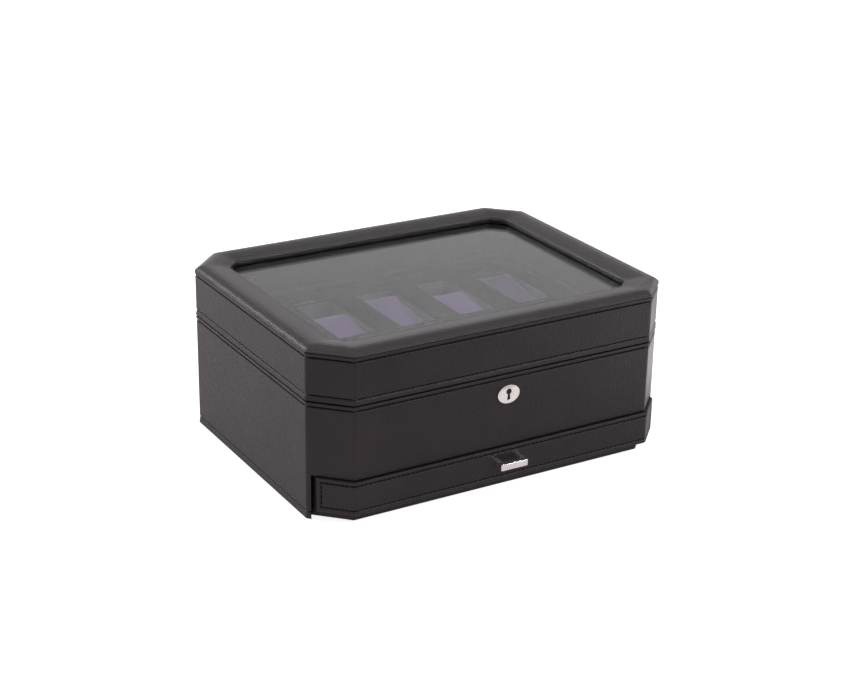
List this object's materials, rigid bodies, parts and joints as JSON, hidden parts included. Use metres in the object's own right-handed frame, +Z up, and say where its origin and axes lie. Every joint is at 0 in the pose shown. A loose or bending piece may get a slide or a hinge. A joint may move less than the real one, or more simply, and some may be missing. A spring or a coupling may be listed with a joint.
{
  "type": "watch box",
  "caption": "Black leather watch box with clipped corners, padded glazed lid, lift-out cushions in wells, box lock and a drawer below.",
  "frame": {"origin": "centre of the footprint, on the surface that the box stands on", "axes": "+X to the right across the front, +Y to the back (hinges), +Z up"},
  "size_m": [0.287, 0.2416, 0.1257],
  "materials": {
    "black_leather": "fine pebble grain, satin",
    "board": "plain fibre board",
    "dark_lining": "smooth dark lining",
    "purple_suede": "short-napped suede",
    "felt": "black felt",
    "nickel": "polished nickel",
    "brass": "satin",
    "steel": "plain",
    "glass": "clear, polished"
  },
  "bodies": {
    "case": {"case_walls": "board", "base_board": "black_leather", "base_felt": "felt", "drawer_deck": "board", "case_leather": "black_leather", "tray_frame": "dark_lining", "tray_rail": "dark_lining", "tray_partitions": "dark_lining", "tray_cover": "dark_lining", "well_liners": "purple_suede", "key_plate": "nickel", "lock_case": "brass", "hinge_case_leaves": "nickel", "hinge_pins": "steel", "hinge_case_screws": "nickel"},
    "lid": {"lid_frame": "board", "lid_leather": "black_leather", "lid_bezel": "black_leather", "lid_glass": "glass", "glass_strip": "dark_lining", "lid_lining": "dark_lining", "lock_link_plate": "brass", "hinge_lid_leaves": "nickel", "hinge_lid_screws": "nickel"},
    "drawer": {"drawer_front": "board", "drawer_front_leather": "black_leather", "drawer_side_left": "dark_lining", "drawer_side_right": "dark_lining", "drawer_back": "dark_lining", "drawer_bottom": "dark_lining", "drawer_dividers": "purple_suede", "drawer_lining": "purple_suede", "drawer_pull": "nickel", "pull_screws": "steel"},
    "bolt": {"lock_bolt": "steel"},
    "cushion_front_1": {"cushion_front_1": "purple_suede"},
    "cushion_front_2": {"cushion_front_2": "purple_suede"},
    "cushion_front_3": {"cushion_front_3": "purple_suede"},
    "cushion_front_4": {"cushion_front_4": "purple_suede"},
    "cushion_front_5": {"cushion_front_5": "purple_suede"},
    "cushion_back_1": {"cushion_back_1": "purple_suede"},
    "cushion_back_2": {"cushion_back_2": "purple_suede"},
    "cushion_back_3": {"cushion_back_3": "purple_suede"},
    "cushion_back_4": {"cushion_back_4": "purple_suede"},
    "cushion_back_5": {"cushion_back_5": "purple_suede"}
  },
  "joints": [
    {"name": "lid_hinge", "type": "hinge", "parent": "case", "child": "lid", "pos_m": [0, 0.11525, 0.087], "axis": [-1, 0, 0], "range_deg": [0, 98]},
    {"name": "drawer_slide", "type": "slide", "parent": "case", "child": "drawer", "axis": [0, -1, 0], "range_m": [0, 0.14]},
    {"name": "bolt_slide", "type": "slide", "parent": "case", "child": "bolt", "axis": [1, 0, 0], "range_m": [0, 0.0036]},
    {"name": "lift_front_1", "type": "slide", "parent": "case", "child": "cushion_front_1", "axis": [0, 0, 1], "range_m": [0, 0.03]},
    {"name": "lift_front_2", "type": "slide", "parent": "case", "child": "cushion_front_2", "axis": [0, 0, 1], "range_m": [0, 0.03]},
    {"name": "lift_front_3", "type": "slide", "parent": "case", "child": "cushion_front_3", "axis": [0, 0, 1], "range_m": [0, 0.03]},
    {"name": "lift_front_4", "type": "slide", "parent": "case", "child": "cushion_front_4", "axis": [0, 0, 1], "range_m": [0, 0.03]},
    {"name": "lift_front_5", "type": "slide", "parent": "case", "child": "cushion_front_5", "axis": [0, 0, 1], "range_m": [0, 0.03]},
    {"name": "lift_back_1", "type": "slide", "parent": "case", "child": "cushion_back_1", "axis": [0, 0, 1], "range_m": [0, 0.03]},
    {"name": "lift_back_2", "type": "slide", "parent": "case", "child": "cushion_back_2", "axis": [0, 0, 1], "range_m": [0, 0.03]},
    {"name": "lift_back_3", "type": "slide", "parent": "case", "child": "cushion_back_3", "axis": [0, 0, 1], "range_m": [0, 0.03]},
    {"name": "lift_back_4", "type": "slide", "parent": "case", "child": "cushion_back_4", "axis": [0, 0, 1], "range_m": [0, 0.03]},
    {"name": "lift_back_5", "type": "slide", "parent": "case", "child": "cushion_back_5", "axis": [0, 0, 1], "range_m": [0, 0.03]}
  ]
}
